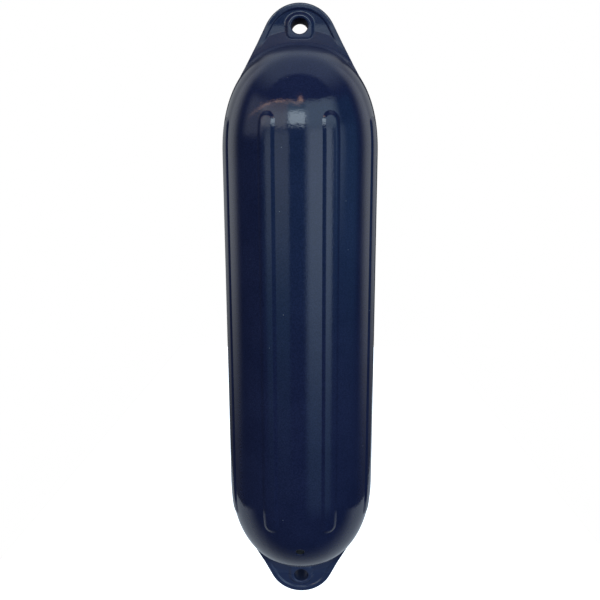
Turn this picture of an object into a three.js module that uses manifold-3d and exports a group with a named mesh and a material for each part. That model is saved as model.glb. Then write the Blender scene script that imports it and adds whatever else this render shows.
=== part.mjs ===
// A cylindrical inflatable boat fender with a moulded rope eye at each end and an air valve low on the front.
// Sizes are in millimetres. +Z is up and the front looks along -Y.
// The origin is the middle of the upper rope eye, which the fender hangs from.

import * as THREE from "three";
import { mergeVertices } from "three/addons/utils/BufferGeometryUtils.js";
import Module from "manifold-3d";

// Gap left between two pieces that touch
const seatGap = 0.3;

// Inflated body: a straight barrel between two full domes
const bodyRadius = 75;
const barrelLength = 330;
const domeHeight = 99;
const domeFullness = 2.284;
const barrelSides = 64;
const domeRings = 12;

// Long flat ribs that stand on the body, spread evenly round it
const ribCount = 8;
const ribWidth = 16.8;
const ribCrownWidth = 9;
const ribHeight = 1.5;
const ribReachOntoDome = 34;
const ribRootDepth = 1;

// Lugs: a flat tongue on each dome with a thick rim round its edge
const lugRise = 36.5;
const lugTipRadius = 35.2;
const lugFlankAngle = THREE.MathUtils.degToRad(27.5);
const lugTaperAngle = THREE.MathUtils.degToRad(4);
const lugRootBelowPole = 38;
const rimThickness = 20;
const rimWidth = 5;
const rimOuterRounding = 3;
const rimInnerRounding = 1.4;
const webThickness = 12;
const pocketWallRun = 2.4;
const webFilletRadius = 6;

// Rope eyes: a slightly oval bore through an oval boss that stands proud of the lug
const eyeAbovePole = 16.1;
const eyeHalfWidth = 7.6;
const eyeHalfHeight = 6.8;
const eyeLipRadius = 1.5;
const bossHalfWidth = 13.6;
const bossHalfHeight = 12;
const bossWallRun = 1.6;
const bossThickness = 25;
const bossSides = 28;
const pedestalHalfWidth = 17;
const pedestalFilletRadius = 3;

// Air valve: a ribbed insert in the wall, closed by a slotted screw on a seal ring
const valveBelowShoulder = 56;
const valveMouthRadius = 4.2;
const valveLipDepth = 1.2;
const insertRadius = 5.6;
const insertRibHeight = 0.7;
const insertRibWidth = 1.2;
const insertRibCount = 3;
const insertLength = 10;
const insertSeatRadius = 4.1;
const insertSeatDepth = 3.3;
const threadBoreRadius = 2.3;
const screwHeadRadius = 3.7;
const screwHeadHeight = 2;
const screwHeadBelowSkin = 0.7;
const screwShankLength = 6.4;
const screwSlotWidth = 1.1;
const screwSlotDepth = 1;
const screwDimpleRadius = 0.8;
const screwDimpleDepth = 1.3;
const sealRingRadius = 3;
const sealSectionRadius = 0.6;
const valveSides = 20;

const wasm = await Module();
wasm.setup();

const halfBarrel = barrelLength / 2;
const poleHeight = halfBarrel + domeHeight;
const eyeHeight = poleHeight + eyeAbovePole;
const tipHeight = poleHeight + lugRise;
const rimHalf = rimThickness / 2;
const webHalf = webThickness / 2;
const bossHalf = bossThickness / 2;
// Added to a cutter so that it passes the skin that it opens
const cutMargin = 3;

// Turns a three.js geometry into a solid: only the positions count, shared corners are one,
// and the triangles that shrink to nothing at a pole are dropped.
function toSolid(geometry) {
  const bare = new THREE.BufferGeometry();
  bare.setAttribute("position", geometry.getAttribute("position"));
  bare.setIndex(geometry.index);
  const merged = mergeVertices(bare, 1e-4);
  const corners = merged.index.array;
  const kept = [];
  for (let i = 0; i < corners.length; i += 3) {
    const [a, b, c] = [corners[i], corners[i + 1], corners[i + 2]];
    if (a !== b && b !== c && c !== a) kept.push(a, b, c);
  }
  const mesh = new wasm.Mesh({
    numProp: 3,
    vertProperties: merged.getAttribute("position").array,
    triVerts: new Uint32Array(kept),
  });
  return new wasm.Manifold(mesh);
}

function toGeometry(solid) {
  const mesh = solid.getMesh();
  const geometry = new THREE.BufferGeometry();
  geometry.setAttribute("position", new THREE.BufferAttribute(mesh.vertProperties, 3));
  geometry.setIndex(new THREE.BufferAttribute(mesh.triVerts, 1));
  geometry.computeVertexNormals();
  return geometry;
}

// Triangles that fill a flat outline.
function flatCap(outline) {
  return THREE.ShapeUtils.triangulateShape(outline, []);
}

// Triangles that fill a loop with rungs from side to side, so that the cap can bend along its
// length. The loop starts at its lowest point, and its two sides mirror each other.
function ladderCap(count) {
  const top = count / 2;
  const triangles = [[0, 1, count - 1]];
  for (let rung = 1; rung + 1 < top; rung++) {
    const left = count - rung;
    triangles.push([left, rung, rung + 1], [left, rung + 1, left - 1]);
  }
  return [...triangles, [top + 1, top - 1, top]];
}

// A closed solid through a stack of loops with equal counts of points, each anticlockwise as seen
// from the last. The caps are lists of triangles on the first and the last loop.
function loftSolid(loops, firstCap, lastCap) {
  const count = loops[0].length;
  const positions = loops.flat().flatMap((p) => [p.x, p.y, p.z]);
  const indices = [];
  for (let level = 0; level + 1 < loops.length; level++) {
    for (let i = 0; i < count; i++) {
      const next = (i + 1) % count;
      const low = level * count;
      const high = low + count;
      indices.push(low + i, low + next, high + next);
      indices.push(low + i, high + next, high + i);
    }
  }
  const lastStart = (loops.length - 1) * count;
  for (const [a, b, c] of firstCap) indices.push(c, b, a);
  for (const [a, b, c] of lastCap) indices.push(lastStart + a, lastStart + b, lastStart + c);
  const geometry = new THREE.BufferGeometry();
  geometry.setAttribute("position", new THREE.Float32BufferAttribute(positions, 3));
  geometry.setIndex(indices);
  return toSolid(geometry);
}

// Radius of the body at a height from its middle, with the height's slope for the skin's direction.
function bodySection(z) {
  const rise = Math.min(Math.max(Math.abs(z) - halfBarrel, 0) / domeHeight, 1);
  const share = Math.pow(1 - Math.pow(rise, domeFullness), 1 / domeFullness);
  const outward = new THREE.Vector2(
    Math.pow(share, domeFullness - 1) / bodyRadius,
    (Math.sign(z) * Math.pow(rise, domeFullness - 1)) / domeHeight,
  );
  return { radius: bodyRadius * share, outward: outward.normalize() };
}

// Height of the dome's skin at a distance from the axis.
function domeHeightAt(radius) {
  const share = Math.min(radius / bodyRadius, 1);
  return halfBarrel + domeHeight * Math.pow(1 - Math.pow(share, domeFullness), 1 / domeFullness);
}

// The body without its ribs and lugs: the profile is revolved from the lower pole to the upper.
function barrelAndDomes() {
  const upper = [];
  for (let ring = 0; ring <= domeRings; ring++) {
    const turn = (ring / domeRings) * (Math.PI / 2);
    const radius = bodyRadius * Math.pow(Math.cos(turn), 2 / domeFullness);
    const rise = domeHeight * Math.pow(Math.sin(turn), 2 / domeFullness);
    upper.push(new THREE.Vector2(ring === domeRings ? 0 : radius, halfBarrel + rise));
  }
  const lower = upper.map((p) => new THREE.Vector2(p.x, -p.y)).reverse();
  const geometry = new THREE.LatheGeometry([...lower, ...upper], barrelSides);
  return toSolid(geometry.rotateX(Math.PI / 2));
}

// One rib, at the front: a long pad with round ends and sloped walls, which follows the skin. It is
// lofted from a root inside the body, past the skin, to its narrower crown.
function frontRib() {
  const centreHeight = halfBarrel + ribReachOntoDome - ribWidth / 2;
  const domeSteps = 4;
  const arcSteps = 5;

  // The pad's outline across (x) and along (y) the body, from its lowest point up the right side
  const outlineFor = (halfWidth) => {
    const quarter = [];
    for (let step = 0; step < domeSteps; step++) {
      const height = halfBarrel + ((centreHeight - halfBarrel) * step) / domeSteps;
      quarter.push(new THREE.Vector2(halfWidth, height));
    }
    for (let step = 0; step < arcSteps; step++) {
      const turn = (step / arcSteps) * (Math.PI / 2);
      quarter.push(new THREE.Vector2(halfWidth * Math.cos(turn), centreHeight + halfWidth * Math.sin(turn)));
    }
    const tip = new THREE.Vector2(0, centreHeight + halfWidth);
    const lower = quarter.map((p) => new THREE.Vector2(p.x, -p.y)).reverse();
    const right = [tip.clone().negate(), ...lower, ...quarter];
    return [...right, ...right.map((p) => p.clone().negate())];
  };
  const loopAt = ([offset, width]) => {
    return outlineFor(width / 2).map((p) => {
      const { radius, outward } = bodySection(p.y);
      const turn = p.x / bodyRadius;
      const reach = radius + offset * outward.x;
      return new THREE.Vector3(reach * Math.sin(turn), -reach * Math.cos(turn), p.y + offset * outward.y);
    });
  };
  const loops = [
    [-ribRootDepth, ribWidth],
    [0, ribWidth],
    [ribHeight, ribCrownWidth],
  ].map(loopAt);
  const cap = ladderCap(loops[0].length);
  return loftSolid(loops, cap, cap);
}

// Outline of the upper lug, drawn across (x) and up (y), pulled in all round by an inset.
function lugOutline(inset) {
  const radius = lugTipRadius - inset;
  const centreHeight = tipHeight - lugTipRadius;
  const rootHeight = poleHeight - lugRootBelowPole;
  const shoulder = new THREE.Vector2(
    radius * Math.cos(lugFlankAngle),
    centreHeight + radius * Math.sin(lugFlankAngle),
  );
  const rootHalfWidth = shoulder.x + (shoulder.y - rootHeight) * Math.tan(lugFlankAngle);
  const shape = new THREE.Shape();
  shape.moveTo(rootHalfWidth, rootHeight);
  shape.lineTo(shoulder.x, shoulder.y);
  shape.absarc(0, centreHeight, radius, lugFlankAngle, Math.PI - lugFlankAngle, false);
  shape.lineTo(-rootHalfWidth, rootHeight);
  const points = shape.getPoints(16);
  return points.filter((p, i) => i === 0 || p.distanceTo(points[i - 1]) > 1e-6);
}

// An oval round the upper eye.
function eyeOutline(halfWidth, halfHeight) {
  return Array.from({ length: bossSides }, (_, i) => {
    const turn = (i / bossSides) * 2 * Math.PI;
    return new THREE.Vector2(halfWidth * Math.cos(turn), eyeHeight + halfHeight * Math.sin(turn));
  });
}

// How much thicker than at the eye the lug is at a height, because it tapers towards its tip.
function lugTaper(height) {
  return 1 + ((eyeHeight - height) * Math.tan(lugTaperAngle)) / rimHalf;
}

// A solid through outlines that stand at given distances in front of the parting plane, listed from
// the back to the front. A taper makes each distance grow towards the dome.
function frontLoft(levels, taper = () => 1) {
  const loops = levels.map(({ out, outline }) =>
    outline.map((p) => new THREE.Vector3(p.x, -out * taper(p.y), p.y)),
  );
  return loftSolid(loops, flatCap(levels[0].outline), flatCap(levels.at(-1).outline));
}

// Steps of a quarter round: how far in and how far out the surface lies, from the side to the face.
function quarterRound(radius, steps) {
  return Array.from({ length: steps + 1 }, (_, i) => {
    const turn = (i / steps) * (Math.PI / 2);
    return { inset: radius * (1 - Math.cos(turn)), fall: radius * (1 - Math.sin(turn)) };
  });
}

// The lug's tongue at full rim thickness, with its outer edge rounded front and back.
function lugBlank() {
  const front = quarterRound(rimOuterRounding, 3).map(({ inset, fall }) => ({
    out: rimHalf - fall,
    outline: lugOutline(inset),
  }));
  const back = front.map(({ out, outline }) => ({ out: -out, outline })).reverse();
  return frontLoft([...back, ...front], lugTaper);
}

// The hollow on the front of the lug, inside its rim, with a sloped wall and a rounded upper edge.
function lugPocket() {
  const crest = quarterRound(rimInnerRounding, 2).map(({ inset, fall }) => ({
    out: rimHalf - fall,
    outline: lugOutline(rimWidth + rimInnerRounding - inset),
  }));
  const floor = { out: webHalf, outline: lugOutline(rimWidth + rimInnerRounding + pocketWallRun) };
  const clear = { out: rimHalf + cutMargin, outline: crest.at(-1).outline };
  return frontLoft([floor, ...crest, clear], lugTaper);
}

// The boss that carries the bore, through the whole lug, with sloped sides.
function eyeBoss() {
  const face = eyeOutline(bossHalfWidth, bossHalfHeight);
  const foot = eyeOutline(bossHalfWidth + bossWallRun, bossHalfHeight + bossWallRun);
  return frontLoft([
    { out: -bossHalf, outline: face },
    { out: -webHalf, outline: foot },
    { out: webHalf, outline: foot },
    { out: bossHalf, outline: face },
  ]);
}

// The bore for the rope, its mouths rounded over.
function eyeBore() {
  const front = quarterRound(eyeLipRadius, 3).map(({ inset, fall }) => ({
    out: bossHalf - fall,
    outline: eyeOutline(eyeHalfWidth + inset, eyeHalfHeight + inset),
  }));
  const clear = { out: bossHalf + cutMargin, outline: front.at(-1).outline };
  const back = [...front, clear].map(({ out, outline }) => ({ out: -out, outline })).reverse();
  return frontLoft([...back, ...front, clear]);
}

// Sweeps a foot across the dome: a wall of a given half thickness that flares into the skin in a
// concave quarter round, from side to side of the lug.
function flaredFoot({ halfAcross, wallHalf, filletRadius, wallHeight, stations }) {
  const filletSteps = 4;
  const depthBelowSkin = 4;
  const sections = [];
  for (let station = 0; station <= stations; station++) {
    const x = halfAcross * ((2 * station) / stations - 1);
    const skinAt = (y) => domeHeightAt(Math.hypot(x, y));
    const front = [];
    for (let step = 0; step <= filletSteps; step++) {
      const turn = (step / filletSteps) * (Math.PI / 2);
      const y = wallHalf + filletRadius * (1 - Math.sin(turn));
      front.push(new THREE.Vector2(y, skinAt(y) + filletRadius * (1 - Math.cos(turn))));
    }
    front.push(new THREE.Vector2(wallHalf, skinAt(wallHalf) + wallHeight));
    const base = new THREE.Vector2(front[0].x, front[0].y - depthBelowSkin);
    const half = [base, ...front];
    const outline = [...half, ...half.map((p) => new THREE.Vector2(-p.x, p.y)).reverse()];
    sections.push({ outline, loop: outline.map((p) => new THREE.Vector3(x, p.x, p.y)) });
  }
  return loftSolid(
    sections.map((s) => s.loop),
    flatCap(sections[0].outline),
    flatCap(sections.at(-1).outline),
  );
}

// The upper lug without its bore. Below the dome's skin it only has to stay inside the body.
function upperLug() {
  const pocket = lugPocket();
  const tongue = lugBlank().subtract(pocket).subtract(pocket.rotate([0, 0, 180]));
  const webFoot = flaredFoot({
    halfAcross: lugTipRadius,
    wallHalf: webHalf * lugTaper(poleHeight),
    filletRadius: webFilletRadius,
    wallHeight: webFilletRadius + 1,
    stations: 12,
  });
  const pedestal = flaredFoot({
    halfAcross: pedestalHalfWidth,
    wallHalf: bossHalf - pedestalFilletRadius,
    filletRadius: pedestalFilletRadius,
    wallHeight: eyeAbovePole - bossHalfHeight / 2,
    stations: 6,
  });
  return tongue.add(webFoot).add(pedestal).add(eyeBoss());
}

// Place of the valve on the skin, and its tilt below the horizontal.
const valveSection = bodySection(-(halfBarrel + valveBelowShoulder));
const valveTilt = Math.atan2(-valveSection.outward.y, valveSection.outward.x);

const valvePlace = new THREE.Object3D();
valvePlace.position.set(0, -valveSection.radius, -(halfBarrel + valveBelowShoulder));
valvePlace.rotation.x = Math.PI + valveTilt;
valvePlace.updateMatrix();

const insertTop = -(valveLipDepth + seatGap);
const insertSeat = insertTop - insertSeatDepth;
const insertBottom = insertTop - insertLength;

function revolve(points) {
  const profile = points.map(([radius, height]) => new THREE.Vector2(radius, height));
  return toSolid(new THREE.LatheGeometry(profile, valveSides));
}

// The insert's ribbed side, from its bottom to its top, with a clearance added all round.
function insertSide(clearance) {
  const side = [[insertRadius + clearance, insertBottom - clearance]];
  const pitch = insertLength / insertRibCount;
  for (let rib = 0; rib < insertRibCount; rib++) {
    const middle = insertBottom + pitch * (rib + 0.5);
    const half = insertRibWidth / 2 + clearance;
    side.push([insertRadius + clearance, middle - half]);
    side.push([insertRadius + insertRibHeight + clearance, middle - half / 2]);
    side.push([insertRadius + insertRibHeight + clearance, middle + half / 2]);
    side.push([insertRadius + clearance, middle + half]);
  }
  side.push([insertRadius + clearance, insertTop + clearance]);
  return side;
}

// What the valve takes out of the body: its mouth in the skin and the pocket that grips the insert.
function valvePocket() {
  return revolve([
    [0, insertBottom - seatGap],
    ...insertSide(seatGap),
    [valveMouthRadius, -valveLipDepth],
    [valveMouthRadius, cutMargin],
    [0, cutMargin],
  ]);
}

function bodySolid() {
  let body = barrelAndDomes();
  const rib = frontRib();
  for (let i = 0; i < ribCount; i++) {
    body = body.add(rib.rotate([0, 0, ((i + 0.5) * 360) / ribCount]));
  }
  const lug = upperLug();
  const bore = eyeBore();
  body = body.add(lug).add(lug.rotate([180, 0, 0]));
  body = body.subtract(bore).subtract(bore.rotate([180, 0, 0]));
  return body.subtract(valvePocket().transform(valvePlace.matrix.elements));
}

function insertSolid() {
  return revolve([
    [threadBoreRadius, insertBottom],
    ...insertSide(0),
    [insertSeatRadius, insertTop],
    [insertSeatRadius, insertSeat],
    [threadBoreRadius, insertSeat],
    [threadBoreRadius, insertBottom],
  ]);
}

function screwSolid() {
  const headTop = -screwHeadBelowSkin;
  const headBottom = headTop - screwHeadHeight;
  const shankRadius = threadBoreRadius - seatGap;
  const edge = 0.3;
  const shank = revolve([
    [0, headBottom - screwShankLength],
    [shankRadius - edge, headBottom - screwShankLength],
    [shankRadius, headBottom - screwShankLength + edge],
    [shankRadius, headBottom],
    [screwHeadRadius, headBottom],
    [screwHeadRadius, headTop - edge],
    [screwHeadRadius - edge, headTop],
    [screwDimpleRadius, headTop],
    [screwDimpleRadius, headTop - screwDimpleDepth],
    [0, headTop - screwDimpleDepth],
  ]);
  const slot = new THREE.BoxGeometry(2 * screwHeadRadius + 1, 2 * screwSlotDepth, screwSlotWidth);
  return shank.subtract(toSolid(slot.translate(0, headTop, 0)));
}

// The seal ring lies between the screw's head and the insert's seat.
function sealSolid() {
  const height = insertSeat + seatGap + sealSectionRadius;
  const ring = new THREE.TorusGeometry(sealRingRadius, sealSectionRadius, 8, valveSides);
  return toSolid(ring.rotateX(Math.PI / 2).translate(0, height, 0));
}

function piece(name, solid, material) {
  const mesh = new THREE.Mesh(toGeometry(solid), material);
  mesh.name = name;
  return mesh;
}

const navyVinyl = new THREE.MeshStandardMaterial({ color: 0x19203a, roughness: 0.36, metalness: 0 });
const blackNylon = new THREE.MeshStandardMaterial({ color: 0x1b1c1f, roughness: 0.5, metalness: 0 });
const greyNylon = new THREE.MeshStandardMaterial({ color: 0x34363b, roughness: 0.45, metalness: 0 });
const sealRubber = new THREE.MeshStandardMaterial({ color: 0x0e0e0f, roughness: 0.7, metalness: 0 });

const valve = new THREE.Group();
valve.position.copy(valvePlace.position);
valve.rotation.copy(valvePlace.rotation);
valve.add(piece("valve_insert", insertSolid(), blackNylon));
valve.add(piece("valve_screw", screwSolid(), greyNylon));
valve.add(piece("valve_seal", sealSolid(), sealRubber));

const fender = new THREE.Group();
fender.position.z = -eyeHeight;
fender.add(piece("fender_body", bodySolid(), navyVinyl));
fender.add(valve);

export default fender;
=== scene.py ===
"""A boat fender in navy vinyl, with long ribs, domed ends, two rope eyes and an air valve."""

import math

import bmesh
import bpy
import numpy as np
from mathutils import Matrix, Vector


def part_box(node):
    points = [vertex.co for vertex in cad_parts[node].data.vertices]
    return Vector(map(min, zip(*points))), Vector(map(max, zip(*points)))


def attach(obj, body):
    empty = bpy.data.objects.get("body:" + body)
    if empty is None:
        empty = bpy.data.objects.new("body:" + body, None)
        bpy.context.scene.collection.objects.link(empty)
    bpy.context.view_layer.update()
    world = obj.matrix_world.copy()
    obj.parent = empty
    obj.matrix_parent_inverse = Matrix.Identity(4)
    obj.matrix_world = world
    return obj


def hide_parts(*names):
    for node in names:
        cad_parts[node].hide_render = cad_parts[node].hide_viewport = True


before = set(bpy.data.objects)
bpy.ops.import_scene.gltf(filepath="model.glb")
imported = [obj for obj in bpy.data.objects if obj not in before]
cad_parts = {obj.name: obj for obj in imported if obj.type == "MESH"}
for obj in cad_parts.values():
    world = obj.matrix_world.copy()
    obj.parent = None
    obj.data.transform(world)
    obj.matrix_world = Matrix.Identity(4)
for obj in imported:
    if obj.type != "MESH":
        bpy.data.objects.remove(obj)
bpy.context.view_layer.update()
mm = 0.001

# Camera
# The fender was photographed from about 0.65 m in front, level with its upper third and looking
# down a little. The lens's axis meets the picture below its middle, which the shift gives back.
body_low, body_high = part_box("fender_body")
mid_height = (body_low.z + body_high.z) / 2
image_side = 600
focal_pixels = 643.3
axis_row = 324.5
camera_distance = 646.5 * mm
camera_above_middle = 129.6 * mm
camera_bearing = math.radians(1.1)
camera_aim = math.radians(0.06)
camera_tilt = math.radians(11.57)
camera_roll = math.radians(-0.18)

camera_data = bpy.data.cameras.new("camera")
camera_data.sensor_width = 36
camera_data.lens = camera_data.sensor_width * focal_pixels / image_side
camera_data.shift_y = (axis_row - image_side / 2) / image_side
camera = bpy.data.objects.new("camera", camera_data)
camera.location = (
    camera_distance * math.sin(camera_bearing),
    -camera_distance * math.cos(camera_bearing),
    mid_height + camera_above_middle,
)
turned = Matrix.Rotation(camera_bearing + camera_aim, 3, "Z")
tilted = Matrix.Rotation(math.pi / 2 - camera_tilt, 3, "X")
camera.rotation_euler = (turned @ tilted @ Matrix.Rotation(camera_roll, 3, "Z")).to_euler()
bpy.context.scene.collection.objects.link(camera)
bpy.context.scene.camera = camera

# Floor
# A white sheet lies under and behind the hanging fender. It looks white from the camera, and is
# dimmer where the vinyl mirrors it, down to nothing at its front edge.
floor_drop = 160 * mm
floor_half_width = 0.5
floor_front = -0.16
floor_soft_back = 0.06
floor_back = 1.8
floor_tone = (0.8, 0.8, 0.8)
glow_seen = 1.2
glow_mirrored = 0.14

floor_mesh = bpy.data.meshes.new("floor")
floor_corners = [
    (x, y, body_low.z - floor_drop)
    for x, y in (
        (-floor_half_width, floor_front),
        (floor_half_width, floor_front),
        (floor_half_width, floor_back),
        (-floor_half_width, floor_back),
    )
]
floor_mesh.from_pydata(floor_corners, [], [(0, 1, 2, 3)])
floor = bpy.data.objects.new("floor", floor_mesh)
bpy.context.scene.collection.objects.link(floor)


def reckon(tree, operation, *terms, clamp=False):
    """One Math node on numbers or sockets, and the socket with its result."""
    node = tree.nodes.new("ShaderNodeMath")
    node.operation = operation
    node.use_clamp = clamp
    for socket, term in zip(node.inputs, terms):
        if isinstance(term, (int, float)):
            socket.default_value = term
        else:
            tree.links.new(term, socket)
    return node.outputs[0]


def fade(tree, value, start, stop, low=0.0, high=1.0):
    """A smooth change from low to high while a value goes from start to stop."""
    node = tree.nodes.new("ShaderNodeMapRange")
    node.interpolation_type = "SMOOTHSTEP"
    tree.links.new(value, node.inputs["Value"])
    ends = (("From Min", start), ("From Max", stop), ("To Min", low), ("To Max", high))
    for name, number in ends:
        node.inputs[name].default_value = number
    return node.outputs[0]


def scaled(tree, colour, share):
    """A colour, given or from a socket, times a share from a socket."""
    node = tree.nodes.new("ShaderNodeVectorMath")
    node.operation = "SCALE"
    if isinstance(colour, tuple):
        node.inputs[0].default_value = colour
    else:
        tree.links.new(colour, node.inputs[0])
    tree.links.new(share, node.inputs["Scale"])
    return node.outputs[0]


def axes_of(tree, kind):
    """The X, Y and Z sockets of one kind of texture coordinate."""
    node = tree.nodes.new("ShaderNodeSeparateXYZ")
    tree.links.new(tree.nodes.new("ShaderNodeTexCoord").outputs[kind], node.inputs[0])
    return node.outputs


floor_material = bpy.data.materials.new("pale_floor")
floor_material.use_nodes = True
floor_tree = floor_material.node_tree
floor_shader = floor_tree.nodes["Principled BSDF"]
floor_shader.inputs["Roughness"].default_value = 0.9
floor_shader.inputs["Specular IOR Level"].default_value = 0.1
floor_shader.inputs["Emission Color"].default_value = (0.85, 0.93, 1, 1)
floor_depth = fade(floor_tree, axes_of(floor_tree, "Object")["Y"], floor_front, floor_soft_back)
floor_tree.links.new(scaled(floor_tree, floor_tone, floor_depth), floor_shader.inputs["Base Color"])
floor_ray = floor_tree.nodes.new("ShaderNodeLightPath").outputs["Is Camera Ray"]
floor_dim = reckon(floor_tree, "MULTIPLY", floor_depth, glow_mirrored)
floor_glow = reckon(floor_tree, "MULTIPLY_ADD", floor_ray, glow_seen, floor_dim)
floor_tree.links.new(floor_glow, floor_shader.inputs["Emission Strength"])
floor_mesh.materials.append(floor_material)

# Room
# A dim room with two tall windows behind the camera, a lit ceiling and a white ground behind the
# fender. Each light is a patch of a sphere round it, between bearings from the camera to the right
# and height angles, in degrees.
bpy.context.scene.view_settings.view_transform = "Standard"
world = bpy.data.worlds.new("room")
world.use_nodes = True
bpy.context.scene.world = world
room = world.node_tree
room.nodes.clear()
to_right, to_back, to_top = axes_of(room, "Generated")
degrees = 180 / math.pi
to_front = reckon(room, "MULTIPLY", to_back, -1.0)
bearing = reckon(room, "MULTIPLY", reckon(room, "ARCTAN2", to_right, to_front), degrees)
height_angle = reckon(room, "MULTIPLY", reckon(room, "ARCSINE", to_top), degrees)
patches = []


def add_patch(colour, *shares):
    """Light of a colour on the part of the room where every share is above zero."""
    share = shares[0]
    for other in shares[1:]:
        share = reckon(room, "MULTIPLY", share, other)
    patches.append(scaled(room, colour, share))


def light_patch(colour, bearings, heights):
    """A lit patch whose bearings and heights are given as fading in, full, full and faded out."""
    across = fade(room, bearing, bearings[0], bearings[1])
    across_end = fade(room, bearing, bearings[3], bearings[2])
    up = fade(room, height_angle, heights[0], heights[1])
    up_end = fade(room, height_angle, heights[3], heights[2])
    add_patch(colour, across, across_end, up, up_end)


# The lit ground behind, less bright high up and dark just behind the fender
high_up = fade(room, to_top, 0.4, 0.95, 1.0, 0.5)
low_down = fade(room, height_angle, -26, 2, 0.1, 1.0)
behind = fade(room, to_back, 0.08, 0.5)
off_axis = fade(room, reckon(room, "ABSOLUTE", to_right), 0.36, 0.44, 0.08, 1.0)
low_or_high = fade(room, reckon(room, "ABSOLUTE", to_top), 0.55, 0.68)
open_part = reckon(room, "MAXIMUM", off_axis, low_or_high)
add_patch((0.50, 0.53, 0.55), behind, high_up, low_down, open_part)

# The ceiling, and the ground to both sides
add_patch((0.40, 0.49, 0.60), fade(room, to_top, 0.62, 0.9), fade(room, to_front, 0.37, 0.31))
light_patch((0.30, 0.32, 0.34), (100, 116, 124, 132), (-26, 2, 45, 60))
light_patch((0.30, 0.32, 0.34), (-132, -124, -116, -100), (-26, 2, 45, 60))

# The two windows, brighter and whiter at their tops
light_patch((0.80, 0.70, 0.60), (5, 17, 45, 50), (-24, 4, 14, 17))
light_patch((0.45, 0.80, 1.15), (5, 17, 45, 50), (-40, 0, 14, 17))
light_patch((0.50, 0.45, 0.40), (-52, -47, -17, -13), (-12, 3, 12, 16))
light_patch((0.12, 0.25, 0.35), (-52, -47, -17, -13), (-32, -2, 12, 16))

# The wall above them, whose top edge slopes off to both sides
wall_top_slope = 0.762
wall_top_bearing = math.radians(-21)
wall_right = reckon(room, "MULTIPLY", to_right, math.sin(wall_top_bearing))
wall_front = reckon(room, "MULTIPLY", to_front, math.cos(wall_top_bearing))
wall_edge = reckon(room, "MULTIPLY", reckon(room, "ADD", wall_right, wall_front), wall_top_slope)
over_wall = reckon(room, "SUBTRACT", to_top, wall_edge)
wall_start = fade(room, bearing, -68, -54)
wall_stop = fade(room, bearing, -16, -22)
wall_foot = fade(room, height_angle, 14, 18)
add_patch((1.05, 0.95, 0.85), wall_start, wall_stop, wall_foot, fade(room, over_wall, 0.0, -0.02))

# A line of warm light along the wall's top, and a warm lamp at its end
line_start = fade(room, bearing, -88, -60)
line_stop = fade(room, bearing, 4, -4)
line_low = fade(room, over_wall, -0.009, -0.003)
line_high = fade(room, over_wall, 0.009, 0.003)
add_patch((9.0, 5.6, 3.8), line_start, line_stop, line_low, line_high)
lamp_bearing = 2.0
lamp_height = 37.0
lamp_aside = reckon(room, "ABSOLUTE", reckon(room, "SUBTRACT", bearing, lamp_bearing))
lamp_above = reckon(room, "SUBTRACT", height_angle, lamp_height)
from_lamp = reckon(room, "MULTIPLY_ADD", lamp_above, 0.8, lamp_aside)
lamp_foot = fade(room, height_angle, lamp_height - 0.6, lamp_height + 0.2)
add_patch((4.5, 2.6, 1.7), fade(room, from_lamp, 6.5, 4.5), lamp_foot)

# Light round the soft panel, and on the walls to its right and left
light_patch((0.90, 1.10, 1.20), (-24, -15, 8, 16), (17, 21, 27, 33))
light_patch((0.50, 0.75, 0.85), (-22, -16, 8, 12), (26, 30, 37, 39))
light_patch((1.00, 1.30, 1.50), (8, 12, 48, 70), (14, 18, 37, 39))
light_patch((0.35, 0.50, 0.60), (-60, -50, -22, -16), (14, 18, 24, 32))
light_patch((0.42, 0.46, 0.52), (-96, -80, -56, -48), (8, 13, 30, 40))
light_patch((0.50, 0.62, 0.72), (50, 58, 62, 74), (-6, 6, 14, 18))

# A faint blue haze in front and to the right
light_patch((0.02, 0.12, 0.24), (-60, -45, 85, 100), (-20, 0, 30, 40))
light_patch((0.06, 0.12, 0.24), (47, 52, 80, 100), (-34, 4, 14, 20))

total = patches[0]
for patch in patches[1:]:
    added = room.nodes.new("ShaderNodeVectorMath")
    added.operation = "ADD"
    room.links.new(total, added.inputs[0])
    room.links.new(patch, added.inputs[1])
    total = added.outputs[0]
felt = room.nodes.new("ShaderNodeBackground")
room.links.new(total, felt.inputs["Color"])
seen = room.nodes.new("ShaderNodeBackground")
seen.inputs["Color"].default_value = (1, 1, 1, 1)
ray = room.nodes.new("ShaderNodeLightPath")
either = room.nodes.new("ShaderNodeMixShader")
room.links.new(ray.outputs["Is Camera Ray"], either.inputs[0])
room.links.new(felt.outputs[0], either.inputs[1])
room.links.new(seen.outputs[0], either.inputs[2])
room_output = room.nodes.new("ShaderNodeOutputWorld")
room.links.new(either.outputs[0], room_output.inputs["Surface"])

# The soft panel that lights the fender's shoulder, level with the wall's middle
panel_distance = 3.0
panel_bearing = math.radians(-3.8)
panel_height_angle = math.radians(22.7)
panel_width = 1.2
panel_depth = 0.55
panel_watts = 9.0
shoulder_above_middle = 190 * mm
panel_data = bpy.data.lights.new("soft_panel", "AREA")
panel_data.shape = "RECTANGLE"
panel_data.size = panel_width
panel_data.size_y = panel_depth
panel_data.color = (0.75, 0.9, 1.0)
panel_data.energy = panel_watts
panel = bpy.data.objects.new("soft_panel", panel_data)
panel_toward = Vector((
    math.sin(panel_bearing) * math.cos(panel_height_angle),
    -math.cos(panel_bearing) * math.cos(panel_height_angle),
    math.sin(panel_height_angle),
))
panel.location = panel_toward * panel_distance + Vector((0, 0, mid_height + shoulder_above_middle))
panel.rotation_euler = panel_toward.to_track_quat("Z", "Y").to_euler()
bpy.context.scene.collection.objects.link(panel)

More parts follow.
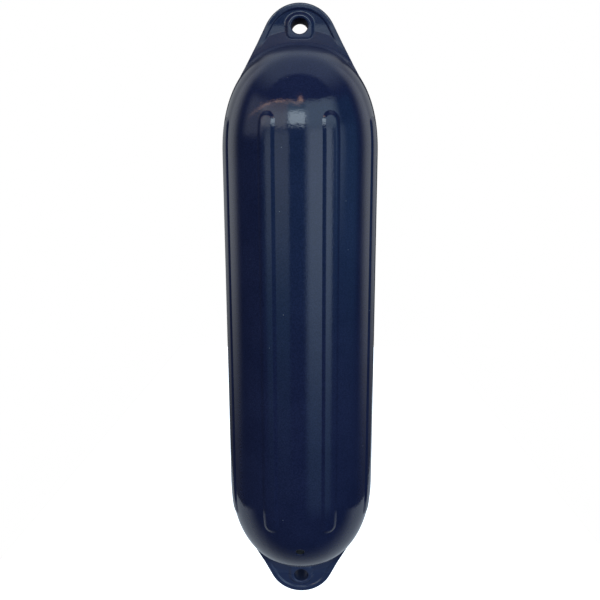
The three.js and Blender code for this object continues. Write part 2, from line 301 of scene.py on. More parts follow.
# Blown body
# One moulding of soft vinyl about 3 mm thick, blown into a barrel with two full domes and eight
# long ribs. A flat sheet of columns and rows is bent round the fender's axis by a rule: the domes'
# full curve, and the height of the ribs that stand on it.
body_radius = (body_high.y - body_low.y) / 2
half_barrel = 165 * mm
dome_height = 99 * mm
dome_fullness = 2.284
rib_count = 8
rib_width = 16.8 * mm
rib_crown_width = 9 * mm
rib_height = 1.2 * mm
rib_end = half_barrel + 34 * mm
rib_foot_softness = 0.08
rib_fullness = 1.2
rib_wall_margin = 0.6 * mm
rib_tip_margin = 1.5 * mm
row_gap = 1 * mm
sheet_merge = 0.01 * mm
pole_height = half_barrel + dome_height


def dome_radius_at(height):
    """The skin's distance from the axis at a height from the body's middle."""
    rise = np.clip((np.abs(height) - half_barrel) / dome_height, 0, 1)
    return body_radius * (1 - rise**dome_fullness) ** (1 / dome_fullness)


def dome_height_at(radius):
    """The height from the body's middle at which the dome's skin has a radius."""
    share = np.clip(radius / body_radius, 0, 1)
    return half_barrel + dome_height * (1 - share**dome_fullness) ** (1 / dome_fullness)


def body_columns():
    """Bearings round one rib and the land beside it, close together on the rib's walls."""
    wall_top = rib_crown_width / 2 - rib_wall_margin
    wall = np.linspace(wall_top, rib_width / 2 + rib_wall_margin, 14)
    pitch = 2 * math.pi * body_radius / rib_count
    land = np.linspace(wall[-1], pitch / 2, 5)[1:]
    crown_half = np.linspace(0, wall[0], 3)[:-1]
    half = np.concatenate([crown_half, wall, land])
    one = np.concatenate([-half[:0:-1], half])[:-1]
    return np.concatenate([(one + pitch * (i + 0.5)) / body_radius for i in range(rib_count)])


def body_rows():
    """Heights from pole to pole, close together where the ribs end."""
    turns = np.linspace(0, math.pi / 2, 42)
    dome = half_barrel + dome_height * np.sin(turns) ** (2 / dome_fullness)
    rib_tip = np.linspace(rib_end - rib_width / 2, rib_end + rib_tip_margin, 16)
    dome = dome[(dome < rib_tip[0] - row_gap) | (dome > rib_tip[-1] + row_gap)]
    upper = np.sort(np.concatenate([dome, rib_tip]))
    barrel = np.linspace(-half_barrel, half_barrel, 12)[1:-1]
    return np.concatenate([-upper[::-1], barrel, upper])


def flat_sheet(name, columns, rows):
    """A sheet with bearings along X and heights along Y, closed into a tube across X."""
    across = np.append(columns, columns[0] + 2 * math.pi)
    points = [(x, y, 0.0) for y in rows for x in across]
    wide = len(across)
    faces = [
        (r * wide + c, r * wide + c + 1, (r + 1) * wide + c + 1, (r + 1) * wide + c)
        for r in range(len(rows) - 1)
        for c in range(wide - 1)
    ]
    mesh = bpy.data.meshes.new(name)
    mesh.from_pydata(points, [], faces)
    sheet = bpy.data.objects.new(name, mesh)
    bpy.context.scene.collection.objects.link(sheet)
    return sheet


vinyl = bpy.data.materials.new("navy_vinyl")
bend = bpy.data.node_groups.new("bend_and_rib", "GeometryNodeTree")
bend.interface.new_socket("Sheet", in_out="INPUT", socket_type="NodeSocketGeometry")
bend_sizes = {
    "Body Radius": body_radius,
    "Half Barrel": half_barrel,
    "Dome Height": dome_height,
    "Dome Fullness": dome_fullness,
    "Rib Count": float(rib_count),
    "Rib Width": rib_width,
    "Rib Crown Width": rib_crown_width,
    "Rib Height": rib_height,
    "Rib End": rib_end,
    "Rib Foot Softness": rib_foot_softness,
    "Rib Fullness": rib_fullness,
    "Middle Height": mid_height,
}
for size_name in bend_sizes:
    bend.interface.new_socket(size_name, in_out="INPUT", socket_type="NodeSocketFloat")
bend.interface.new_socket("Body", in_out="OUTPUT", socket_type="NodeSocketGeometry")
given = bend.nodes.new("NodeGroupInput").outputs


def length_of(a, b):
    """The length of a line that goes by one number across and another up."""
    squares = reckon(bend, "ADD", reckon(bend, "POWER", a, 2.0), reckon(bend, "POWER", b, 2.0))
    return reckon(bend, "SQRT", squares)


place = bend.nodes.new("ShaderNodeSeparateXYZ")
bend.links.new(bend.nodes.new("GeometryNodeInputPosition").outputs[0], place.inputs[0])
sheet_bearing, sheet_height = place.outputs["X"], place.outputs["Y"]
level = reckon(bend, "ABSOLUTE", sheet_height)

# The dome's rule, and the direction in which its skin faces
over_barrel = reckon(bend, "SUBTRACT", level, given["Half Barrel"])
rise = reckon(bend, "DIVIDE", over_barrel, given["Dome Height"], clamp=True)
rest = reckon(bend, "SUBTRACT", 1.0, reckon(bend, "POWER", rise, given["Dome Fullness"]))
share = reckon(bend, "POWER", rest, reckon(bend, "DIVIDE", 1.0, given["Dome Fullness"]))
steep = reckon(bend, "SUBTRACT", given["Dome Fullness"], 1.0)
out_part = reckon(bend, "DIVIDE", reckon(bend, "POWER", share, steep), given["Body Radius"])
up_part = reckon(bend, "DIVIDE", reckon(bend, "POWER", rise, steep), given["Dome Height"])
facing = length_of(out_part, up_part)
outward = reckon(bend, "DIVIDE", out_part, facing)
upward = reckon(bend, "DIVIDE", up_part, facing)
upward = reckon(bend, "MULTIPLY", upward, reckon(bend, "SIGN", sheet_height))

# The distance to the nearest rib's middle line, whose ends are round
pitch_angle = reckon(bend, "DIVIDE", 2 * math.pi, given["Rib Count"])
in_pitch = reckon(bend, "FLOORED_MODULO", reckon(bend, "DIVIDE", sheet_bearing, pitch_angle), 1.0)
from_rib = reckon(bend, "MULTIPLY", reckon(bend, "SUBTRACT", in_pitch, 0.5), pitch_angle)
aside = reckon(bend, "MULTIPLY", from_rib, given["Body Radius"])
half_width = reckon(bend, "DIVIDE", given["Rib Width"], 2.0)
round_start = reckon(bend, "SUBTRACT", given["Rib End"], half_width)
beyond = reckon(bend, "MAXIMUM", reckon(bend, "SUBTRACT", level, round_start), 0.0)
from_line = length_of(aside, beyond)

# Sloped walls between the land and the crown, a little fuller towards the crown
half_crown = reckon(bend, "DIVIDE", given["Rib Crown Width"], 2.0)
wall_run = reckon(bend, "SUBTRACT", half_width, half_crown)
up_wall = reckon(bend, "DIVIDE", reckon(bend, "SUBTRACT", half_width, from_line), wall_run)
rounded_foot = reckon(bend, "SMOOTH_MAX", up_wall, 0.0, given["Rib Foot Softness"])
to_crown = reckon(bend, "SUBTRACT", 1.0, rounded_foot, clamp=True)
full = reckon(bend, "SUBTRACT", 1.0, reckon(bend, "POWER", to_crown, given["Rib Fullness"]))
raised = reckon(bend, "MULTIPLY", full, given["Rib Height"])

dome_reach = reckon(bend, "MULTIPLY", share, given["Body Radius"])
reach = reckon(bend, "ADD", dome_reach, reckon(bend, "MULTIPLY", raised, outward))
bent = bend.nodes.new("ShaderNodeCombineXYZ")
to_side = reckon(bend, "MULTIPLY", reach, reckon(bend, "SINE", sheet_bearing))
to_camera = reckon(bend, "MULTIPLY", reach, reckon(bend, "COSINE", sheet_bearing))
bend.links.new(to_side, bent.inputs["X"])
bend.links.new(reckon(bend, "MULTIPLY", to_camera, -1.0), bent.inputs["Y"])
above_middle = reckon(bend, "ADD", sheet_height, reckon(bend, "MULTIPLY", raised, upward))
bend.links.new(reckon(bend, "ADD", above_middle, given["Middle Height"]), bent.inputs["Z"])

moved = bend.nodes.new("GeometryNodeSetPosition")
bend.links.new(given["Sheet"], moved.inputs["Geometry"])
bend.links.new(bent.outputs[0], moved.inputs["Position"])
closed = bend.nodes.new("GeometryNodeMergeByDistance")
closed.inputs["Distance"].default_value = sheet_merge
bend.links.new(moved.outputs[0], closed.inputs["Geometry"])
realized = bend.nodes.new("GeometryNodeRealizeInstances")
bend.links.new(closed.outputs[0], realized.inputs[0])
dressed = bend.nodes.new("GeometryNodeSetMaterial")
dressed.inputs["Material"].default_value = vinyl
bend.links.new(realized.outputs[0], dressed.inputs["Geometry"])
bend_output = bend.nodes.new("NodeGroupOutput")
bend.links.new(dressed.outputs[0], bend_output.inputs["Body"])

body_sheet = flat_sheet("body_sheet", body_columns(), body_rows())
body_rule = body_sheet.modifiers.new("bend_and_rib", "NODES")
body_rule.node_group = bend
for item in bend.interface.items_tree:
    if item.in_out == "INPUT" and item.name in bend_sizes:
        body_rule[item.identifier] = bend_sizes[item.name]


def finished_mesh(source, name):
    """The evaluated mesh of an object as a plain one, and the object it came from removed."""
    graph = bpy.context.evaluated_depsgraph_get()
    mesh = bpy.data.meshes.new_from_object(source.evaluated_get(graph))
    mesh.name = name
    source_mesh = source.data
    bpy.data.objects.remove(source)
    bpy.data.meshes.remove(source_mesh)
    return mesh


body_mesh = finished_mesh(body_sheet, "fender_skin")

# Lugs
# Each end of the moulding is pinched into a solid tongue that tapers to its tip: a rim round its
# edge, a sunken web that flares into the dome, and a boss with a straight foot, bored for the rope.
tip_above_pole = 36.5 * mm
tip_radius = 35.2 * mm
flank_angle = math.radians(27.5)
root_below_pole = 37 * mm
rim_half = 10.5 * mm
rim_width = 5 * mm
rim_rounding = 1.2 * mm
rim_wall_slope = 1.75
rim_slope = math.tan(math.radians(0.2))
web_half = 9.4 * mm
web_flare_height = 13.5 * mm
web_flare_slope = 0.30
eye_above_pole = 16.1 * mm
eye_half_size = np.array([7.6, 6.8]) * mm
eye_lip = 1.5 * mm
boss_half_size = np.array([10.8, 9.6]) * mm
boss_foot_below_eye = 10.6 * mm
boss_corner = 4 * mm
boss_half = 12.4 * mm
boss_wall_slope = 1.1
skirt_height = 1.9 * mm
skirt_slope = 0.58
rim_softness = 1.2 * mm
boss_softness = 0.7 * mm
web_softness = 0.8 * mm
skirt_softness = 0.3 * mm
flare_below_skin = 2 * mm
longest_ray = 90 * mm
lip_gap = 0.1 * mm
boss_foot_gap = 0.2 * mm
ring_gap = 0.004 * mm
edge_gap = 0.01 * mm
mesh_merge = 0.001 * mm
eye_height = pole_height + eye_above_pole
tip_centre = pole_height + tip_above_pole - tip_radius
flank_out = np.array([math.cos(flank_angle), math.sin(flank_angle)])


def soft_max(a, b, width):
    """The larger of two, with a rounded change from one to the other."""
    near = np.clip(width - np.abs(a - b), 0, None) / width
    return np.maximum(a, b) + near**2 * width / 4


def soft_min(a, b, width):
    """The smaller of two, with a rounded change from one to the other."""
    return -soft_max(-a, -b, width)


def beyond_edge(x, z):
    """How far outside the tongue's outline a point lies, below zero inside it."""
    x = np.abs(x)
    along = np.arctan2(z - tip_centre, x)
    to_tip = np.hypot(x, z - tip_centre)
    to_flank = x * flank_out[0] + (z - tip_centre) * flank_out[1]
    past_side = np.where(along > flank_angle, to_tip, to_flank) - tip_radius
    return np.maximum(past_side, pole_height - root_below_pole - z)


def beyond_boss(x, z):
    """How far outside the boss's face a point lies: an oval above, a block with a foot below."""
    up = z - eye_height
    oval = (np.hypot(x / boss_half_size[0], up / boss_half_size[1]) - 1) * boss_half_size[1]
    aside = np.abs(x) - boss_half_size[0] + boss_corner
    below = -up - boss_foot_below_eye + boss_corner
    corner = np.hypot(np.clip(aside, 0, None), np.clip(below, 0, None))
    block = corner + np.clip(np.maximum(aside, below), None, 0) - boss_corner
    return np.where(up > 0, oval, block)


def beyond_bore(x, z):
    """How far outside the bore a point lies."""
    shape = np.hypot(x / eye_half_size[0], (z - eye_height) / eye_half_size[1])
    return (shape - 1) * eye_half_size[1]


def above_skin(x, z):
    """How far above the dome's skin a point of the web lies."""
    return z - dome_height_at(np.hypot(x, web_half))


def below_skin(x, z):
    """How far below the dome's skin a point of the web lies."""
    return -above_skin(x, z)


def lug_thickness(x, z):
    """Half the tongue's thickness at a point of it, with the skirt that meets the dome."""
    below_eye = eye_height - z
    inset = -beyond_edge(x, z)
    rounding = np.clip(rim_rounding - inset, 0, rim_rounding)
    crest = rim_half - rim_rounding + np.sqrt(rim_rounding**2 - rounding**2)
    rim_wall = rim_half - (inset - rim_width) * rim_wall_slope
    rim = soft_min(crest, rim_wall, rim_softness) + below_eye * rim_slope
    boss_wall = boss_half - beyond_boss(x, z) * boss_wall_slope
    boss = soft_min(boss_half, boss_wall, boss_softness)
    above = np.clip(above_skin(x, z), -flare_below_skin, None)
    flare = np.clip(web_flare_height - above, 0, None)
    half = soft_max(web_half + flare * web_flare_slope, rim, web_softness)
    half = soft_max(half, boss, web_softness)
    skirt = (skirt_height - above) * skirt_slope
    return half + soft_max(skirt, 0, skirt_softness)


def closed_mesh(name, points, faces, drop_thin=False):
    """A closed mesh from points and faces, with its doubles merged and its faces outward."""
    mesh = bpy.data.meshes.new(name)
    mesh.from_pydata(points, [], faces)
    shape = bmesh.new()
    shape.from_mesh(mesh)
    bmesh.ops.remove_doubles(shape, verts=shape.verts, dist=mesh_merge)
    if drop_thin:
        bmesh.ops.dissolve_degenerate(shape, edges=shape.edges, dist=mesh_merge)
    bmesh.ops.recalc_face_normals(shape, faces=shape.faces)
    shape.to_mesh(mesh)
    shape.free()
    return mesh


def lug_mesh(name, rays=256):
    """The upper tongue as one closed mesh: rays from the bore's middle, crossed by rings."""
    turn = np.linspace(0, 2 * math.pi, rays, endpoint=False)
    heading = np.stack([np.cos(turn), np.sin(turn)])

    def reach(rule, level):
        """How far out along each ray a rule comes to a level."""
        near, far = np.zeros(rays), np.full(rays, longest_ray)
        for _ in range(30):
            middle = (near + far) / 2
            inside = rule(heading[0] * middle, eye_height + heading[1] * middle) < level
            near, far = np.where(inside, middle, near), np.where(inside, far, middle)
        return (near + far) / 2

    edge = reach(beyond_edge, 0)
    mouth = reach(beyond_bore, 0)
    lip_turns = np.linspace(0, math.pi / 2, 7)
    lip = [mouth + eye_lip * (1 - math.cos(a)) for a in lip_turns]
    lip_depths = [boss_half - eye_lip * (1 - math.sin(a)) for a in lip_turns]

    # Rings on the boss's edge and wall, the rim's wall, crest and rounding, the crease where the
    # web starts to flare, the skirt, and the web between them
    boss_edge_steps = [-0.6, -0.35, -0.15, 0.05, 0.3, 0.6, 1.2, 2.0]
    boss_foot_steps = [2.8, 3.2, 3.5, 3.8, 4.1, 4.5]
    boss_steps = np.array(boss_edge_steps + boss_foot_steps) * mm
    rim_foot_steps = [7.6, 7.2, 6.8, 6.5, 6.2, 5.9, 5.6]
    rim_crest_steps = [5.3, 5.0, 4.7, 4.3, 3.4, 2.2]
    rim_wall_steps = np.array(rim_foot_steps + rim_crest_steps) * mm
    rim_rounds = rim_rounding * (1 - np.sin(np.linspace(0, math.pi / 2, 8)))
    rim_steps = np.concatenate([rim_wall_steps, rim_rounds])
    crease_steps = web_flare_height + np.array([0.6, 0.04, -0.04, -0.6]) * mm
    skirt_steps = skirt_height + np.array([0.5, 0.2, 0.08, -0.04, -0.2, -0.7, -1.6, -2.6]) * mm
    web_shares = np.linspace(0, 1, 14)[1:-1]
    boss_foot = np.maximum(reach(beyond_boss, boss_steps[-1]), lip[-1] + boss_foot_gap)
    spans = [reach(beyond_boss, step) for step in boss_steps]
    spans += [reach(beyond_edge, -step) for step in rim_steps[:-1]]
    spans += [reach(below_skin, -step) for step in (*crease_steps, *skirt_steps)]
    spans += [boss_foot + (edge - boss_foot) * share for share in web_shares]
    spans = np.sort(np.clip(spans, lip[-1] + lip_gap, edge - edge_gap), axis=0)
    for row in range(1, len(spans)):
        spans[row] = np.maximum(spans[row], spans[row - 1] + ring_gap)
    spans = np.minimum(spans, edge - edge_gap)

    front = []
    for r, depth in zip(lip, lip_depths):
        front.append(np.stack([heading[0] * r, np.full(rays, -depth), heading[1] * r]))
    for r in [*spans, edge]:
        x, up = heading[0] * r, heading[1] * r
        front.append(np.stack([x, -lug_thickness(x, eye_height + up), up]))
    back = [ring * np.array([[1], [-1], [1]]) for ring in reversed(front)]
    side_steps = 4
    side = [front[-1] + (back[0] - front[-1]) * step / side_steps for step in range(1, side_steps)]
    loops = front + side + back
    points = np.concatenate([ring.T for ring in loops]) + (0, 0, eye_height + mid_height)
    faces = [
        (a * rays + i, b * rays + i, b * rays + (i + 1) % rays, a * rays + (i + 1) % rays)
        for a, b in ((k, (k + 1) % len(loops)) for k in range(len(loops)))
        for i in range(rays)
    ]
    return closed_mesh(name, points, faces)


def turned_over(mesh, name):
    """A copy of a mesh turned end for end about the fender's middle."""
    copy = mesh.copy()
    copy.name = name
    middle = Matrix.Translation((0, 0, mid_height))
    copy.transform(middle @ Matrix.Rotation(math.pi, 4, "X") @ middle.inverted())
    return copy


def with_boolean(mesh, operation, others):
    """A mesh joined to, or cut by, other closed meshes."""
    target = bpy.data.objects.new(mesh.name, mesh)
    bpy.context.scene.collection.objects.link(target)
    for other in others:
        tool = bpy.data.objects.new(other.name, other)
        bpy.context.scene.collection.objects.link(tool)
        step = target.modifiers.new(other.name, "BOOLEAN")
        step.operation = operation
        step.solver = "EXACT"
        step.object = tool
    graph = bpy.context.evaluated_depsgraph_get()
    made = bpy.data.meshes.new_from_object(target.evaluated_get(graph))
    made.name = mesh.name
    for step in list(target.modifiers):
        bpy.data.objects.remove(step.object)
    bpy.data.objects.remove(target)
    return made


upper_lug = lug_mesh("upper_lug")
lower_lug = turned_over(upper_lug, "lower_lug")
skin_mesh = with_boolean(body_mesh, "UNION", [upper_lug, lower_lug])

# Valve pocket
# The lower dome has a small round mouth in front, with a rounded lip. The vinyl closes round a
# ribbed insert behind it.
valve_below_shoulder = 56 * mm
mouth_radius = 4.2 * mm
mouth_lip = 1.2 * mm
mouth_rounding = 0.7 * mm
mouth_below_skin = 0.15 * mm
cutter_flare = 0.4 * mm
cutter_above_skin = 1.5 * mm
insert_radius = 5.6 * mm
insert_length = 10 * mm
grip_height = 0.7 * mm
grip_width = 1.2 * mm
grip_rounding = 0.15 * mm
grip_count = 3
seat_gap = 0.3 * mm
insert_top = -(mouth_lip + seat_gap)
insert_bottom = insert_top - insert_length

valve_level = half_barrel + valve_below_shoulder
valve_radius = float(dome_radius_at(valve_level))
out_share = (valve_radius / body_radius) ** (dome_fullness - 1) / body_radius
down_share = (valve_below_shoulder / dome_height) ** (dome_fullness - 1) / dome_height
valve_tilt = math.atan2(down_share, out_share)
valve_place = Matrix(
    (
        (1, 0, 0, 0),
        (0, -math.sin(valve_tilt), -math.cos(valve_tilt), -valve_radius),
        (0, math.cos(valve_tilt), -math.sin(valve_tilt), mid_height - valve_level),
        (0, 0, 0, 1),
    )
)


def turned_mesh(name, profile, sides=72):
    """A closed solid turned on the valve's axis from radii and heights above the skin."""
    count = len(profile)
    turns = [2 * math.pi * i / sides for i in range(sides)]
    points = [(r * math.cos(a), r * math.sin(a), h) for a in turns for r, h in profile]
    faces = [
        (i * count + k, i * count + (k + 1) % count, j * count + (k + 1) % count, j * count + k)
        for i, j in ((i, (i + 1) % sides) for i in range(sides))
        for k in range(count)
    ]
    mesh = closed_mesh(name, points, faces, drop_thin=True)
    mesh.transform(valve_place)
    return mesh


def insert_side(clearance):
    """The insert's ribbed side from its bottom to its top, grown by a clearance."""
    side = [(insert_radius + clearance, insert_bottom - clearance)]
    pitch = insert_length / grip_count
    for grip in range(grip_count):
        middle = insert_bottom + pitch * (grip + 0.5)
        half = grip_width / 2 + clearance
        crown = insert_radius + grip_height + clearance
        side.append((insert_radius + clearance, middle - half))
        side += [(crown - grip_rounding, middle - half / 2), (crown, middle - half / 3)]
        side += [(crown, middle + half / 3), (crown - grip_rounding, middle + half / 2)]
        side.append((insert_radius + clearance, middle + half))
    side.append((insert_radius + clearance, insert_top + clearance))
    return side


lip_bend = [
    (
        mouth_radius + mouth_rounding * (1 - math.cos(a)),
        -mouth_below_skin - mouth_rounding * (1 - math.sin(a)),
    )
    for a in np.linspace(0, math.pi / 2, 8)
]
pocket = turned_mesh(
    "valve_pocket",
    [
        (0, insert_bottom - seat_gap),
        *insert_side(seat_gap),
        (mouth_radius, -mouth_lip),
        *lip_bend,
        (mouth_radius + mouth_rounding + cutter_flare, cutter_above_skin),
        (0, cutter_above_skin),
    ],
)
skin_mesh = with_boolean(skin_mesh, "DIFFERENCE", [pocket])

# Vinyl skin
# The body and its lugs are one piece of soft navy vinyl. Its mould leaves a fine grain on the
# barrel, smooth lugs, a matt ring round each lug's foot, a slight mottle and a few pale specks.
# The lower lug also gets painted light: its blue is made paler than the same vinyl on the upper
# lug.
skin_mesh.materials.clear()
skin_mesh.materials.append(vinyl)
piece_merge = 0.002 * mm


def finished_piece(name, mesh, crease_degrees):
    """A named piece from a mesh, smooth apart from its creases, with its doubles merged."""
    shape = bmesh.new()
    shape.from_mesh(mesh)
    bmesh.ops.remove_doubles(shape, verts=shape.verts, dist=piece_merge)
    for face in shape.faces:
        face.smooth = True
    for edge in shape.edges:
        edge.smooth = edge.calc_face_angle(0) < math.radians(crease_degrees)
    shape.to_mesh(mesh)
    shape.free()
    piece = bpy.data.objects.new(name, mesh)
    bpy.context.scene.collection.objects.link(piece)
    return piece


skin = finished_piece("vinyl_skin", skin_mesh, crease_degrees=26)
vinyl.use_nodes = True
vinyl_tree = vinyl.node_tree
vinyl_shader = vinyl_tree.nodes["Principled BSDF"]
vinyl_place = vinyl_tree.nodes.new("ShaderNodeTexCoord").outputs["Object"]


def noise(tree, place, scale, detail=2.0, roughness=0.5):
    """Noise at a scale given in waves for each metre."""
    node = tree.nodes.new("ShaderNodeTexNoise")
    node.inputs["Scale"].default_value = scale
    node.inputs["Detail"].default_value = detail
    node.inputs["Roughness"].default_value = roughness
    tree.links.new(place, node.inputs["Vector"])
    return node.outputs["Fac"]


def blend(tree, share, first, second):
    """A colour between two, each a colour or a socket."""
    node = tree.nodes.new("ShaderNodeMix")
    node.data_type = "RGBA"
    tree.links.new(share, node.inputs["Factor"])
    for socket, colour in ((node.inputs[6], first), (node.inputs[7], second)):
        if isinstance(colour, tuple):
            socket.default_value = colour
        else:
            tree.links.new(colour, socket)
    return node.outputs[2]


# How far a point lies from the fender's middle tells the lugs from the domes
vinyl_axes = axes_of(vinyl_tree, "Object")
from_middle = reckon(vinyl_tree, "SUBTRACT", vinyl_axes["Z"], mid_height)
from_middle = reckon(vinyl_tree, "ABSOLUTE", from_middle)
on_lug = fade(vinyl_tree, from_middle, pole_height - 2 * mm, pole_height + 3 * mm)

navy_deep = (0.0170, 0.0220, 0.062, 1)
navy_light = (0.0215, 0.0270, 0.072, 1)
lower_lug_painted_light = (0.036, 0.048, 0.105, 1)
speck_grey = (0.24, 0.26, 0.30, 1)
mottle_waves = 24
fine_mottle_waves = 850
speck_waves = 45
mottle = fade(vinyl_tree, noise(vinyl_tree, vinyl_place, mottle_waves, 4), 0.32, 0.68)
mottled = blend(vinyl_tree, mottle, navy_deep, navy_light)
fine_mottle = noise(vinyl_tree, vinyl_place, fine_mottle_waves, 2)
fine_share = fade(vinyl_tree, fine_mottle, 0.3, 0.7, 0.82, 1.18)
fine_tone = scaled(vinyl_tree, mottled, fine_share)
# Painted light: a lighter blue on the lower lug, standing in for the light that falls on it, though
# both lugs are the same vinyl
below_pole = reckon(vinyl_tree, "SUBTRACT", mid_height - pole_height, vinyl_axes["Z"])
lower_lug_light_share = fade(vinyl_tree, below_pole, -4 * mm, 3 * mm)
with_painted_lug_light = blend(vinyl_tree, lower_lug_light_share, fine_tone, lower_lug_painted_light)
specks = vinyl_tree.nodes.new("ShaderNodeTexVoronoi")
specks.inputs["Scale"].default_value = speck_waves
vinyl_tree.links.new(vinyl_place, specks.inputs["Vector"])
speck = fade(vinyl_tree, specks.outputs["Distance"], 0.022, 0.012)
specked = blend(vinyl_tree, speck, with_painted_lug_light, speck_grey)
vinyl_tree.links.new(specked, vinyl_shader.inputs["Base Color"])

# Gloss, with the matt ring where each lug meets its dome
gloss_waves = 60
least_roughness = 0.05
most_roughness = 0.08
lug_roughness = 0.02
matt_roughness = 0.3
uneven = noise(vinyl_tree, vinyl_place, gloss_waves, 3)
gloss = fade(vinyl_tree, uneven, 0.3, 0.7, least_roughness, most_roughness)
lug_gloss = reckon(vinyl_tree, "MULTIPLY", on_lug, lug_roughness)
near_pole = fade(vinyl_tree, from_middle, pole_height - 26 * mm, pole_height - 5 * mm)
below_web = fade(vinyl_tree, from_middle, pole_height + 20 * mm, pole_height + 11 * mm)
matt_ring = reckon(vinyl_tree, "MULTIPLY", near_pole, below_web)
matt_gloss = reckon(vinyl_tree, "MULTIPLY", matt_ring, matt_roughness)
roughness = reckon(vinyl_tree, "ADD", reckon(vinyl_tree, "ADD", gloss, lug_gloss), matt_gloss)
vinyl_tree.links.new(roughness, vinyl_shader.inputs["Roughness"])

# The bores' walls are dull
skin_sheen = 0.5
bore_sheen = 0.03
across_bore = reckon(vinyl_tree, "DIVIDE", vinyl_axes["X"], float(eye_half_size[0]))
along_bore = reckon(vinyl_tree, "SUBTRACT", from_middle, eye_height)
along_bore = reckon(vinyl_tree, "DIVIDE", along_bore, float(eye_half_size[1]))
bore_ring = reckon(
    vinyl_tree,
    "ADD",
    reckon(vinyl_tree, "MULTIPLY", across_bore, across_bore),
    reckon(vinyl_tree, "MULTIPLY", along_bore, along_bore),
)
dull_bore = fade(vinyl_tree, bore_ring, 1.25, 1.06, skin_sheen, bore_sheen)
vinyl_tree.links.new(dull_bore, vinyl_shader.inputs["Specular IOR Level"])

# The grain, which the lugs don't have
grain_depth = 0.042 * mm
fine_grain_waves = 780
coarse_grain_waves = 260
coarse_share = 0.8
fine = noise(vinyl_tree, vinyl_place, fine_grain_waves, 1)
coarse = noise(vinyl_tree, vinyl_place, coarse_grain_waves, 1)
both = reckon(vinyl_tree, "ADD", fine, reckon(vinyl_tree, "MULTIPLY", coarse, coarse_share))
grain_height = reckon(vinyl_tree, "MULTIPLY", both, reckon(vinyl_tree, "SUBTRACT", 1.0, on_lug))
grain = vinyl_tree.nodes.new("ShaderNodeBump")
grain.inputs["Strength"].default_value = 1.0
grain.inputs["Distance"].default_value = grain_depth
vinyl_tree.links.new(grain_height, grain.inputs["Height"])
vinyl_tree.links.new(grain.outputs["Normal"], vinyl_shader.inputs["Normal"])

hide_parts("fender_body")
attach(skin, "root")

# Valve insert
# A black nylon socket with three ribs, held by the vinyl that closed round it. Its seat takes the
# screw's head and the seal ring, and its bore takes the screw's shank.
seat_radius = 4.1 * mm
seat_depth = 3.3 * mm
bore_radius = 2.3 * mm
insert_seat = insert_top - seat_depth
bevel = 0.2 * mm
insert_mesh = turned_mesh(
    "valve_socket",
    [
        (bore_radius, insert_bottom),
        *insert_side(0)[:-1],
        (insert_radius, insert_top - bevel),
        (insert_radius - bevel, insert_top),
        (seat_radius + bevel, insert_top),
        (seat_radius, insert_top - bevel),
        (seat_radius, insert_seat),
        (bore_radius + bevel, insert_seat),
        (bore_radius, insert_seat - bevel),
    ],
)
moulded_grain_depth = 0.02 * mm


def moulded(name, dark, light, colour_waves, gloss_waves, gloss_low, gloss_high, grain_waves=None):
    """A moulded material with mottled colour, uneven gloss and, where it has one, a fine grain."""
    material = bpy.data.materials.new(name)
    material.use_nodes = True
    tree = material.node_tree
    shader = tree.nodes["Principled BSDF"]
    place = tree.nodes.new("ShaderNodeTexCoord").outputs["Object"]
    colour = blend(tree, noise(tree, place, colour_waves, 3), dark, light)
    tree.links.new(colour, shader.inputs["Base Color"])
    gloss = fade(tree, noise(tree, place, gloss_waves, 2), 0.3, 0.7, gloss_low, gloss_high)
    tree.links.new(gloss, shader.inputs["Roughness"])
    if grain_waves:
        grain = tree.nodes.new("ShaderNodeBump")
        grain.inputs["Strength"].default_value = 0.5
        grain.inputs["Distance"].default_value = moulded_grain_depth
        tree.links.new(noise(tree, place, grain_waves, 2), grain.inputs["Height"])
        tree.links.new(grain.outputs["Normal"], shader.inputs["Normal"])
    return material


nylon_dark = (0.008, 0.008, 0.010, 1)
nylon_light = (0.016, 0.016, 0.018, 1)
nylon = moulded(
    "black_nylon",
    nylon_dark,
    nylon_light,
    colour_waves=900,
    gloss_waves=1500,
    gloss_low=0.42,
    gloss_high=0.55,
    grain_waves=5000,
)
insert_mesh.materials.append(nylon)
insert = finished_piece("insert_socket", insert_mesh, crease_degrees=35)
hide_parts("valve_insert")
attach(insert, "root")

# Valve screw
# A moulded grey nylon screw closes the valve. Its head lies just below the skin and has a slot for
# a coin with a dimple in the middle, and its shank is threaded.
head_radius = 3.7 * mm
head_height = 2 * mm
head_below_skin = 0.7 * mm
shank_length = 6.4 * mm
slot_width = 1.1 * mm
slot_depth = 1 * mm
slot_overrun = 1 * mm
dimple_radius = 0.8 * mm
dimple_depth = 1.3 * mm
dimple_edge = 0.12 * mm
thread_pitch = 1.0 * mm
thread_depth = 0.25 * mm
thread_run_in = 0.6 * mm
crest_start = 0.4 * thread_pitch
crest_stop = 0.55 * thread_pitch
head_edge = 0.35 * mm
head_top = -head_below_skin
head_bottom = head_top - head_height
shank_bottom = head_bottom - shank_length
shank_radius = bore_radius - seat_gap

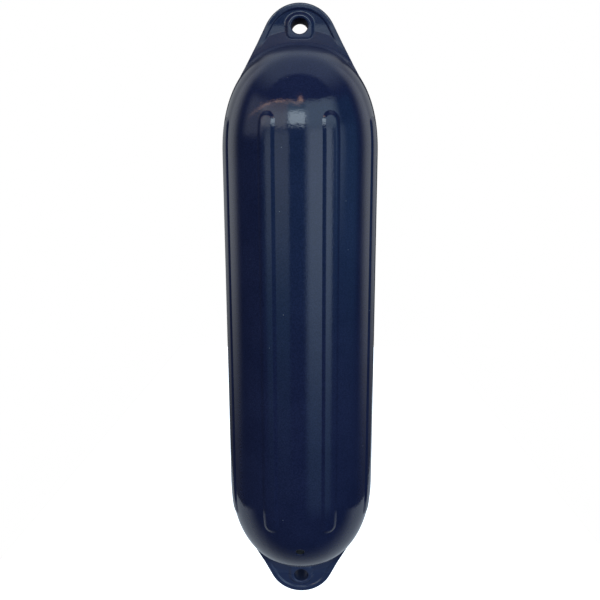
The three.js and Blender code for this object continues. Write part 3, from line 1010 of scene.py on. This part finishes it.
thread = [(0, shank_bottom), (shank_radius - 2 * thread_depth, shank_bottom)]
turn_count = int((shank_length - 2 * thread_run_in) / thread_pitch)
for turn_number in range(turn_count):
    foot = shank_bottom + thread_run_in + turn_number * thread_pitch
    thread.append((shank_radius - thread_depth, foot))
    thread.append((shank_radius, foot + crest_start))
    thread.append((shank_radius, foot + crest_stop))
head_round = [
    (head_radius - head_edge * (1 - math.cos(a)), head_top - head_edge * (1 - math.sin(a)))
    for a in np.linspace(0, math.pi / 2, 6)
]
screw_solid = turned_mesh(
    "valve_plug",
    [
        *thread,
        (shank_radius - thread_depth, head_bottom),
        (head_radius, head_bottom),
        *head_round,
        (dimple_radius + dimple_edge, head_top),
        (dimple_radius, head_top - dimple_edge),
        (dimple_radius, head_top - dimple_depth),
        (0, head_top - dimple_depth),
    ],
)
slot_shape = bmesh.new()
bmesh.ops.create_cube(slot_shape, size=1)
slot_size = (2 * head_radius + slot_overrun, slot_width, 2 * slot_depth)
bmesh.ops.scale(slot_shape, vec=slot_size, verts=slot_shape.verts)
bmesh.ops.translate(slot_shape, vec=(0, 0, head_top), verts=slot_shape.verts)
slot_mesh = bpy.data.meshes.new("screw_slot")
slot_shape.to_mesh(slot_mesh)
slot_shape.free()
slot_mesh.transform(valve_place)
screw_mesh = with_boolean(screw_solid, "DIFFERENCE", [slot_mesh])
grey_dark = (0.010, 0.011, 0.013, 1)
grey_light = (0.022, 0.024, 0.028, 1)
grey = moulded(
    "grey_nylon",
    grey_dark,
    grey_light,
    colour_waves=1100,
    gloss_waves=1700,
    gloss_low=0.38,
    gloss_high=0.52,
    grain_waves=4200,
)
screw_mesh.materials.clear()
screw_mesh.materials.append(grey)
screw = finished_piece("slotted_screw", screw_mesh, crease_degrees=35)
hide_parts("valve_screw")
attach(screw, "root")

# Seal ring
# A soft black rubber ring lies in the insert's seat, round the screw's shank and under its head.
# It keeps the air in, and nothing of it shows from outside.
ring_radius = 3 * mm
ring_section = 0.6 * mm
ring_height = insert_seat + seat_gap + ring_section
seal_mesh = turned_mesh(
    "valve_ring",
    [
        (ring_radius + ring_section * math.cos(a), ring_height + ring_section * math.sin(a))
        for a in np.linspace(0, 2 * math.pi, 20, endpoint=False)
    ],
)
rubber_dark = (0.004, 0.004, 0.004, 1)
rubber_light = (0.009, 0.009, 0.009, 1)
rubber = moulded(
    "seal_rubber",
    rubber_dark,
    rubber_light,
    colour_waves=1300,
    gloss_waves=2400,
    gloss_low=0.6,
    gloss_high=0.8,
)
seal_mesh.materials.append(rubber)
seal = finished_piece("rubber_ring", seal_mesh, crease_degrees=60)
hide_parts("valve_seal")
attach(seal, "root")
